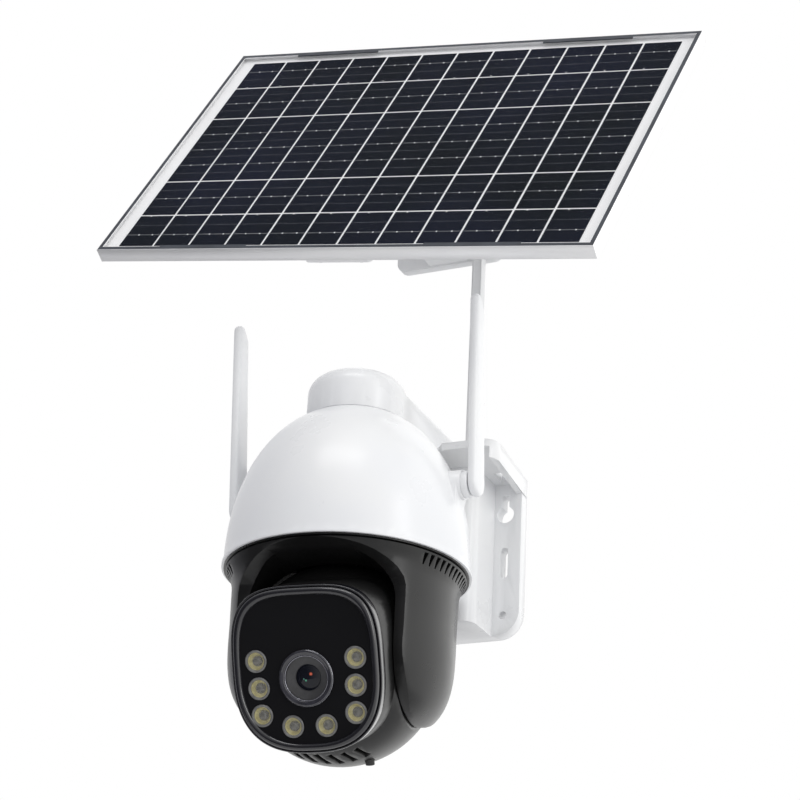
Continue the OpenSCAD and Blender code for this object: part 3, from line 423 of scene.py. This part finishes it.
def lathe(name, section, place, segments=96):
    """Turns a closed section of (radius, y) points about the Y axis."""
    work = bmesh.new()
    rings = []
    for radius, along in section:
        if radius < 1e-6:
            rings.append([work.verts.new((0, along, 0))] * segments)
            continue
        rings.append([
            work.verts.new((radius * math.cos(2 * math.pi * i / segments), along,
                            radius * math.sin(2 * math.pi * i / segments)))
            for i in range(segments)
        ])
    for ring, after in zip(rings, rings[1:] + rings[:1]):
        for i in range(segments):
            corners = [ring[i], ring[(i + 1) % segments], after[(i + 1) % segments], after[i]]
            distinct = list(dict.fromkeys(corners))
            if len(distinct) > 2:
                work.faces.new(distinct)
    return from_bmesh(name, work, place)


def arc(cx, cy, radius, start, end, steps=6):
    """Points on an arc of a section, angles in degrees."""
    turns = [math.radians(start + (end - start) * i / steps) for i in range(steps + 1)]
    return [(cx + radius * math.cos(t), cy + radius * math.sin(t)) for t in turns]


def face_point(inset, angle):
    """A point of the face's rounded outline, fuller at the top corners than at the bottom ones."""
    power = FACE_TOP_POWER if math.sin(angle) > 0 else FACE_LOW_POWER
    across = math.copysign(abs(math.cos(angle)) ** (2 / power), math.cos(angle))
    up = math.copysign(abs(math.sin(angle)) ** (2 / power), math.sin(angle))
    return (FACE_HALF_W - inset) * across, (FACE_HALF_H - inset) * up + FACE_RISE


def face_angles(count):
    """Angles that space the outline's points evenly along it."""
    fine = [2 * math.pi * i / 4096 for i in range(4097)]
    points = [face_point(0, t) for t in fine]
    run = [0.0]
    for before, after in zip(points, points[1:]):
        run.append(run[-1] + math.dist(before, after))
    angles, k = [], 0
    for i in range(count):
        goal = run[-1] * i / count
        while run[k + 1] < goal:
            k += 1
        part = (goal - run[k]) / max(run[k + 1] - run[k], 1e-9)
        angles.append(fine[k] + part * (fine[k + 1] - fine[k]))
    return angles


def face_sweep(name, section, place, count=240):
    """Sweeps a closed section of (inset, y) points round the face's outline."""
    work = bmesh.new()
    rings = []
    angles = face_angles(count)
    for inset, along in section:
        points = [face_point(inset, t) for t in angles]
        rings.append([work.verts.new((x, along, z)) for x, z in points])
    for ring, after in zip(rings, rings[1:] + rings[:1]):
        for i in range(count):
            work.faces.new([ring[i], ring[(i + 1) % count], after[(i + 1) % count], after[i]])
    return from_bmesh(name, work, place)


def slab(name, boxes, place):
    """Joins plain slabs, each a (low corner, high corner) pair."""
    work = bmesh.new()
    for low, high in boxes:
        low, high = Vector(low), Vector(high)
        middle = Matrix.Translation((low + high) / 2)
        bmesh.ops.create_cube(work, size=1, matrix=middle @ Matrix.Diagonal((*(high - low), 1)))
    return from_bmesh(name, work, place)


# ---------------------------------------------------------------- repeats, with geometry nodes
def repeat_tree():
    """Sets one item on a level grid of points, or on the carrier's own points when Columns is 0."""
    tree = bpy.data.node_groups.new("set_item_on_points", "GeometryNodeTree")
    face = tree.interface
    face.new_socket("Geometry", in_out="INPUT", socket_type="NodeSocketGeometry")
    face.new_socket("Item", in_out="INPUT", socket_type="NodeSocketObject")
    for name in ("Columns", "Rows"):
        face.new_socket(name, in_out="INPUT", socket_type="NodeSocketInt")
    for name in ("Grid Width", "Grid Height"):
        face.new_socket(name, in_out="INPUT", socket_type="NodeSocketFloat")
    face.new_socket("Offset", in_out="INPUT", socket_type="NodeSocketVector")
    face.new_socket("Material", in_out="INPUT", socket_type="NodeSocketMaterial")
    face.new_socket("Geometry", in_out="OUTPUT", socket_type="NodeSocketGeometry")
    nodes, links = tree.nodes, tree.links
    given = nodes.new("NodeGroupInput").outputs
    grid = nodes.new("GeometryNodeMeshGrid")
    links.new(given["Grid Width"], grid.inputs["Size X"])
    links.new(given["Grid Height"], grid.inputs["Size Y"])
    links.new(given["Columns"], grid.inputs["Vertices X"])
    links.new(given["Rows"], grid.inputs["Vertices Y"])
    move = nodes.new("GeometryNodeTransform")
    links.new(grid.outputs["Mesh"], move.inputs["Geometry"])
    links.new(given["Offset"], move.inputs["Translation"])
    points = nodes.new("GeometryNodeJoinGeometry")
    links.new(given["Geometry"], points.inputs["Geometry"])
    links.new(move.outputs["Geometry"], points.inputs["Geometry"])
    item = nodes.new("GeometryNodeObjectInfo")
    links.new(given["Item"], item.inputs["Object"])
    spread = nodes.new("GeometryNodeInstanceOnPoints")
    links.new(points.outputs["Geometry"], spread.inputs["Points"])
    links.new(item.outputs["Geometry"], spread.inputs["Instance"])
    whole = nodes.new("GeometryNodeRealizeInstances")
    links.new(spread.outputs["Instances"], whole.inputs["Geometry"])
    coat = nodes.new("GeometryNodeSetMaterial")
    links.new(whole.outputs["Geometry"], coat.inputs["Geometry"])
    links.new(given["Material"], coat.inputs["Material"])
    links.new(coat.outputs["Geometry"], nodes.new("NodeGroupOutput").inputs["Geometry"])
    return tree


REPEAT = repeat_tree()


def repeated(name, item, finish, place, points=(), columns=0, rows=0, width=0.0, height=0.0,
             offset=(0, 0, 0)):
    """A plain mesh of one item set at each point or on a grid."""
    mesh = bpy.data.meshes.new(name)
    mesh.from_pydata(list(points), [], [])
    carrier = linked(name, mesh)
    grow = carrier.modifiers.new("repeat", "NODES")
    grow.node_group = REPEAT
    values = {
        "Item": item, "Columns": columns, "Rows": rows, "Grid Width": width, "Grid Height": height,
        "Offset": offset, "Material": FINISH[finish],
    }
    for socket in REPEAT.interface.items_tree:
        if socket.in_out == "INPUT" and socket.name in values:
            grow[socket.identifier] = values[socket.name]
    result = evaluated(carrier)
    carrier.modifiers.clear()
    carrier.data = result
    result.transform(place)
    return carrier


def joined(name, parts):
    """One object from several pieces."""
    work = bmesh.new()
    for part in parts:
        work.from_mesh(part.data)
        bpy.data.objects.remove(part)
    mesh = bpy.data.meshes.new(name)
    work.to_mesh(mesh)
    work.free()
    return linked(name, mesh)


def drop(item):
    bpy.data.objects.remove(item)


# ---------------------------------------------------------------- antennas
def blade_outline(count=72):
    """Points and outward normals around a blade: a round foot, tapered sides and a slanting round tip."""
    points, normals = [], []
    for i in range(count):
        angle = 2 * math.pi * i / count
        normal = Vector((math.cos(angle), math.sin(angle)))
        y, z, radius = max(BLADE_ROUNDS, key=lambda r: r[0] * normal.x + r[1] * normal.y + r[2])
        points.append(Vector((y, z)) + normal * radius)
        normals.append(normal)
    return points, normals


def make_blade(name, side, joint, lean):
    """A flat blade with a pillowed section, so its long edges are round."""
    outline, normals = blade_outline()
    count = len(outline)
    half = BLADE_THICK / 2
    profile = [(BLADE_EDGE * (1 - math.cos(t)), half - BLADE_EDGE + BLADE_EDGE * math.sin(t))
               for t in (math.radians(a) for a in (0, 22, 45, 68, 90))]
    layers = [(inset, -depth) for inset, depth in reversed(profile)] + profile
    middle = BLADE_X + half
    work = bmesh.new()
    rings = []
    for inset, depth in layers:
        points = [p - n * inset for p, n in zip(outline, normals)]
        rings.append([work.verts.new((side * (middle + depth), y, z)) for y, z in points])
    for ring, after in zip(rings, rings[1:]):
        for i in range(count):
            work.faces.new([ring[i], ring[(i + 1) % count], after[(i + 1) % count], after[i]])
    work.faces.new(rings[0])
    work.faces.new(rings[-1])
    hinge = Vector(JOINTS[joint]["pos_m"])
    place = Matrix.Translation((0, hinge.y, hinge.z)) @ turned(math.radians(lean), "X") @ MM
    piece = from_bmesh(name, work, place)
    node = name.replace("blade", "antenna")
    return settle(piece, "white", BODY_OF[node], SLOT_OF[node], (node,), sharp=45)


# ---------------------------------------------------------------- camera head
def make_bezel():
    """Face rim: a thin outer lip, a groove, a broad rounded roll and a step down to the window."""
    section = (
        [(0.0, -47.6), (0.0, -52.6)]
        + [(0.1, -52.95), (0.35, -53.2), (0.7, -53.2), (0.95, -52.95)]
        + [(1.15, -52.3)]
        + [(2.95 + 1.8 * math.cos(math.radians(t)), -52.9 - 2.2 * math.sin(math.radians(t))) for t in
           range(175, -6, -12)]
        + [(4.75, -52.2), (5.0, -51.6), (5.7, -51.5), (5.7, -47.6)]
    )
    piece = face_sweep("face_rim", section, HEAD)
    return settle(piece, "gloss", "camera_head", "black_gloss", ("head_bezel",), sharp=50)


def make_lamps():
    """Eight lamps: a grey ring, a phosphor cup, a domed core and a clear cap each."""
    places = [(x, 0, z) for x, z in LAMP_PLACES]
    front = WINDOW_Y
    ring = [(LAMP_RING_R, front + 3), (LAMP_RING_R, front - 0.05)]
    ring += arc(4.75, front - 0.02, 0.6, 0, -180, 8)
    ring += [(4.1, front + 0.6), (4.1, front + 3)]
    cup = [
        (LAMP_CUP_R, front + 0.5), (4.0, front + 1.2), (3.4, front + 2.2), (2.4, front + 2.9),
        (0, front + 3.1), (0, front + 3.8), (LAMP_CUP_R, front + 3.8),
    ]
    core = [(0, front + 3.5), (LAMP_CORE_R, front + 3.5)]
    core += arc(0.0, front + 2.5, LAMP_CORE_R, -5, -80, 7)
    core += [(0, front + 0.0)]
    crown = front - 0.62
    cap = [(0, crown)]
    cap += [(r, crown + 0.55 * (r / 4.6) ** 2) for r in (1.2, 2.4, 3.4, 4.1, 4.55)]
    cap += [(4.55, front + 0.3), (0, front + 0.3)]
    for name, section, finish, slot, node in (
        ("lamp_rings", ring, "lamp_ring", "led_dome", ()),
        ("lamp_cups", cup, "lamp_cup", "led_chip", ()),
        ("lamp_cores", core, "lamp_core", "led_dome", ()),
        ("lamp_caps", cap, "lamp_cap", "led_dome", ("led_lenses",)),
    ):
        item = lathe(name + "_item", section, LOCAL, 40)
        piece = repeated(name, item, finish, HEAD, points=places)
        drop(item)
        settle(piece, finish, "camera_head", slot, node, sharp=50)


def make_lens():
    """Bright outer ring, stepped cone and coated front glass, whose coloured coating reflections are painted into
    its base colour.
    """
    front = WINDOW_Y
    ring = (
        [(LENS_RING_R, front + 3.0), (LENS_RING_R, front - 0.7)]
        + arc(12.3, front - 0.75, 0.9, 0, -95, 7)
        + [(11.5, front - 1.25)]
        + arc(11.4, front - 0.55, 0.7, -90, -170, 4)
        + [(10.35, front + 0.6), (10.25, front + 3.0)]
    )
    settle(lathe("lens_ring_turned", ring, HEAD, 128), "ring", "camera_head", "ring_metal",
           ("lens_ring",), sharp=40)
    outer = arc(13.0, front - 0.75, 0.32, 0, 330, 11)
    inner = arc(10.5, front - 0.45, 0.30, 0, 330, 11)
    beads = joined("lens_ring_beads", [
        lathe("outer_bead", outer, LOCAL, 96),
        lathe("inner_bead", inner, LOCAL, 96),
    ])
    beads.data.transform(HEAD)
    settle(beads, "bead", "camera_head", "ring_metal", sharp=60)
    cone = [(LENS_CONE_R, front + 0.55)]
    steps = 6
    for i in range(steps):
        low = 10.0 - 3.7 * i / steps
        high = 10.0 - 3.7 * (i + 1) / steps
        depth = front + 0.8 + 1.8 * i / steps
        cone += [(low, depth), (high + 0.12, depth + 0.18)]
    cone += [(6.1, front + 2.9), (6.1, front + 6), (7, front + 6), (7, front + LENS_DEPTH),
             (LENS_CONE_R, front + LENS_DEPTH)]
    piece = lathe("lens_cone_turned", cone, HEAD, 128)
    settle(piece, "cone", "camera_head", "black_nylon", ("lens_barrel",), sharp=25)
    crown, sag = front + 1.25, 1.9
    glass = [(0, crown)]
    glass += [(r, crown + sag * (r / LENS_GLASS_R) ** 2) for r in (1.5, 3.0, 4.4, 5.4, LENS_GLASS_R)]
    glass += [(LENS_GLASS_R, front + 6), (0, front + 6)]
    settle(lathe("lens_glass_front", glass, HEAD, 96), "glass", "camera_head", "lens_glass",
           ("lens_glass",), sharp=50)


# ---------------------------------------------------------------- solar panel
def row_starts():
    total = sum(ROW_HEIGHTS) + ROW_GAP * (len(ROW_HEIGHTS) - 1)
    starts = []
    for i in range(len(ROW_HEIGHTS)):
        starts.append(-total / 2 + sum(ROW_HEIGHTS[:i]) + ROW_GAP * i)
    return starts


def make_cell_print():
    """Busbar ribbons, solder joints, printed contact dots and the notch marks of the cells."""
    pitch = (PANEL_W - 2 * SIDE_MARGIN + CELL_GAP) / CELL_COLUMNS
    cell_w = pitch - CELL_GAP
    span = pitch * (CELL_COLUMNS - 1)
    reach = cell_w / 2 + 0.2
    ribbon = slab("ribbon_item", [((-reach, -0.28, 0), (reach, 0.28, RIBBON_THICK))], LOCAL)
    joint = lathe("joint_item", [(0, -0.02), (0.5, -0.02), (0.44, 0.0), (0, 0.004)], LOCAL, 10)
    joint.data.transform(Matrix.Rotation(math.radians(90), 4, "X"))
    dot = lathe("dot_item", [(0, -0.012), (0.27, -0.012), (0.24, 0.0), (0, 0.001)], LOCAL, 6)
    dot.data.transform(Matrix.Rotation(math.radians(90), 4, "X"))
    ribbons, joints, dots, notches = [], [], [], []
    for row, start in enumerate(row_starts()):
        for part in BUSBARS[row]:
            y = start + part * ROW_HEIGHTS[row]
            ribbons.append(repeated("ribbon", ribbon, "wire", LOCAL, columns=CELL_COLUMNS, rows=1, width=span,
                                    offset=(0, y, CELL_TOP)))
            for side in SOLDER_PLACES:
                place = ((side - 0.5) * cell_w, y, CELL_TOP + 0.018)
                joints.append(repeated("joint", joint, "solder", LOCAL, columns=CELL_COLUMNS, rows=1,
                                       width=span, offset=place))
        for part in DOT_ROWS[row]:
            y = start + part * ROW_HEIGHTS[row]
            for k in range(DOTS_PER_CELL):
                x = (k + 0.5 - DOTS_PER_CELL / 2) * cell_w / DOTS_PER_CELL
                dots.append(repeated("dot", dot, "finger", LOCAL, columns=CELL_COLUMNS, rows=1, width=span,
                                     offset=(x, y, CELL_TOP + RIBBON_THICK)))
    notch = slab("notch_item", [((-0.4, -0.35, 0), (0.4, 0.35, RIBBON_THICK))], LOCAL)
    top = row_starts()[4] + 0.35
    low = row_starts()[0] + ROW_HEIGHTS[0] - 0.35
    for y in (top, low):
        notches.append(repeated("notch", notch, "solder", LOCAL, columns=CELL_COLUMNS, rows=1, width=span,
                                offset=(NOTCH_PLACE * cell_w, y, CELL_TOP)))
    for item in (ribbon, joint, dot, notch):
        drop(item)
    for name, parts, finish in (
        ("busbar_ribbons", ribbons, "wire"), ("solder_joints", joints, "solder"),
        ("contact_dots", dots, "finger"), ("cell_notches", notches, "solder"),
    ):
        piece = joined(name, parts)
        piece.data.transform(PANEL)
        settle(piece, finish, "solar_panel", "cell_blue", sharp=40)


def make_panel_edges():
    """The dark sealant line on the frame's lip, with four wider strips on the long sides."""
    half_w, half_h = PANEL_W / 2, PANEL_H / 2
    boxes = []
    for side in (-1, 1):
        ys = sorted((side * (half_h - SEAL_OUTER), side * (half_h - SEAL_INNER)))
        boxes.append(((-half_w + SEAL_OUTER, ys[0], SEAL_LOW), (half_w - SEAL_OUTER, ys[1], SEAL_TOP)))
        xs = sorted((side * (half_w - SEAL_OUTER), side * (half_w - SEAL_INNER)))
        boxes.append(((xs[0], -half_h + SEAL_INNER, SEAL_LOW), (xs[1], half_h - SEAL_INNER, SEAL_TOP)))
        for start in STRIP_STARTS:
            ys = sorted((side * (half_h - SEAL_INNER), side * (half_h - SEAL_WIDE)))
            boxes.append(((start, ys[0], SEAL_WIDE_LOW), (start + STRIP_LENGTH, ys[1], SEAL_TOP)))
    piece = slab("edge_seal", boxes, PANEL)
    settle(piece, "seal", "solar_panel", "black_nylon")


# ---------------------------------------------------------------- studio
FLOOR_HALF = 1.6
FLOOR_LEVEL = -1.25
CAMERA_PLACE = (0.4543, -1.0194, -0.4029)
CAMERA_TURN = (24.79, 24.22, 3.02)
CAMERA_LENS = 99.27
LIT_POINT = Vector((0, -0.08, 0.0))
ROOM_SIDE = (0.85, -0.15, 0.5)
GLEAM_SIDE = (0.66, 0.70, 0.25)


def make_floor():
    work = bmesh.new()
    bmesh.ops.create_grid(work, x_segments=2, y_segments=2, size=FLOOR_HALF)
    floor = from_bmesh("floor", work, Matrix.Translation((0, 0, FLOOR_LEVEL)))
    paint = Finish("pale_floor", (0.84, 0.84, 0.84), 0.75)
    paint.shades((0.82, 0.82, 0.82), (0.86, 0.86, 0.86), 0.8)
    floor.data.materials.append(paint.material)


def make_camera():
    azimuth, elevation, roll = (math.radians(a) for a in CAMERA_TURN)
    forward = Vector((-math.sin(azimuth) * math.cos(elevation), math.cos(azimuth) * math.cos(elevation),
                      math.sin(elevation)))
    level = Vector((math.cos(azimuth), math.sin(azimuth), 0))
    upright = level.cross(forward)
    right = math.cos(roll) * level + math.sin(roll) * upright
    up = math.cos(roll) * upright - math.sin(roll) * level
    data = bpy.data.cameras.new("camera")
    data.sensor_width = 36
    data.lens = CAMERA_LENS
    camera = bpy.data.objects.new("camera", data)
    bpy.context.scene.collection.objects.link(camera)
    facing = Matrix((right, up, -forward)).transposed().to_4x4()
    camera.matrix_world = Matrix.Translation(CAMERA_PLACE) @ facing
    bpy.context.scene.camera = camera


def add_softbox(name, position, size, power):
    data = bpy.data.lights.new(name, "AREA")
    data.shape = "RECTANGLE"
    data.size, data.size_y = size
    data.energy = power
    lamp = bpy.data.objects.new(name, data)
    bpy.context.scene.collection.objects.link(lamp)
    lamp.location = position
    lamp.rotation_mode = "QUATERNION"
    lamp.rotation_quaternion = (LIT_POINT - Vector(position)).to_track_quat("-Z", "Y")


def room_background(nodes, links, direction, towards, far, near):
    """A room whose brightness grows from far to near as the direction turns towards the given one."""
    along = nodes.new("ShaderNodeVectorMath")
    along.operation = "DOT_PRODUCT"
    along.inputs[1].default_value = Vector(towards).normalized()
    links.new(direction, along.inputs[0])
    reach = nodes.new("ShaderNodeMapRange")
    reach.inputs["From Min"].default_value = -0.8
    reach.inputs["From Max"].default_value = 0.9
    reach.inputs["To Min"].default_value = far
    reach.inputs["To Max"].default_value = near
    links.new(along.outputs["Value"], reach.inputs["Value"])
    tint = nodes.new("ShaderNodeValToRGB")
    tint.color_ramp.elements[0].color = (0.90, 0.90, 1.0, 1)
    tint.color_ramp.elements[1].color = (1.0, 1.0, 0.99, 1)
    links.new(reach.outputs["Result"], tint.inputs["Fac"])
    room = nodes.new("ShaderNodeBackground")
    links.new(tint.outputs["Color"], room.inputs["Color"])
    links.new(reach.outputs["Result"], room.inputs["Strength"])
    return room.outputs["Background"]


def make_light():
    """White backdrop; the room is brighter to the right, and shiny pieces see a dim front and a bright back."""
    world = bpy.data.worlds.new("studio")
    bpy.context.scene.world = world
    world.use_nodes = True
    nodes, links = world.node_tree.nodes, world.node_tree.links
    nodes.clear()
    direction = nodes.new("ShaderNodeTexCoord").outputs["Generated"]
    room = room_background(nodes, links, direction, ROOM_SIDE, 0.52, 0.98)
    gleam = room_background(nodes, links, direction, GLEAM_SIDE, 0.08, 1.6)
    backdrop = nodes.new("ShaderNodeBackground")
    backdrop.inputs["Color"].default_value = (1, 1, 1, 1)
    path = nodes.new("ShaderNodeLightPath")
    shiny = nodes.new("ShaderNodeMixShader")
    links.new(path.outputs["Is Glossy Ray"], shiny.inputs["Fac"])
    links.new(room, shiny.inputs[1])
    links.new(gleam, shiny.inputs[2])
    choose = nodes.new("ShaderNodeMixShader")
    links.new(path.outputs["Is Camera Ray"], choose.inputs["Fac"])
    links.new(shiny.outputs["Shader"], choose.inputs[1])
    links.new(backdrop.outputs["Background"], choose.inputs[2])
    links.new(choose.outputs["Shader"], nodes.new("ShaderNodeOutputWorld").inputs["Surface"])
    add_softbox("right_softbox", (1.5, -0.5, 0.3), (0.35, 1.3), 4.8)
    add_softbox("top_softbox", (0.15, -0.9, 1.3), (0.9, 0.35), 3.6)
    bpy.context.scene.view_settings.view_transform = "Standard"


# ---------------------------------------------------------------- build
dress_nodes()
# Nodes with pierced or hollowed flat faces keep their triangles, which hold the holes' outlines
PIERCED = ("wall_bracket", "panel_bracket", "link_rail", "swivel_collar", "head_shell", "yoke", "dome_cover",
           "panel_strap")
EASED = {
    # node: (finish, eased edge in mm, steps)
    "wall_bracket": ("white", 0.7, 2), "dome_cover": ("white", 0.35, 2),
    "antenna_hubs": ("white", 0.35, 2), "yoke": ("satin", 0.9, 3), "head_shell": ("satin", 0.35, 2),
    "link_rail": ("powder", 0.5, 2), "panel_bracket": ("powder", 0.6, 2),
    "swivel_collar": ("powder", 0.6, 2), "tilt_knuckle": ("powder", 0.6, 2),
    "collar_knob": ("nylon", 0.5, 2), "wing_nut": ("nylon", 0.6, 2),
    "frame_long_rails": ("anodised", 0.3, 2), "frame_short_rails": ("anodised", 0.3, 2),
    "panel_strap": ("anodised", 0.4, 2), "junction_box": ("nylon", 0.6, 2),
    "junction_lid": ("nylon", 0.7, 2), "panel_gland": ("nylon", 0.5, 2),
    "reset_button": ("rubber", 0.4, 2), "cable_bush": ("rubber", 0.4, 2),
}
for node, (finish, edge, steps) in EASED.items():
    finished(node, finish, edge, steps, merge=node not in PIERCED)
make_blade("blade_left", -1, "left_antenna_swing", LEAN_LEFT)
make_blade("blade_right", 1, "right_antenna_swing", LEAN_RIGHT)
make_bezel()
make_lamps()
make_lens()
make_cell_print()
make_panel_edges()
make_floor()
make_camera()
make_light()
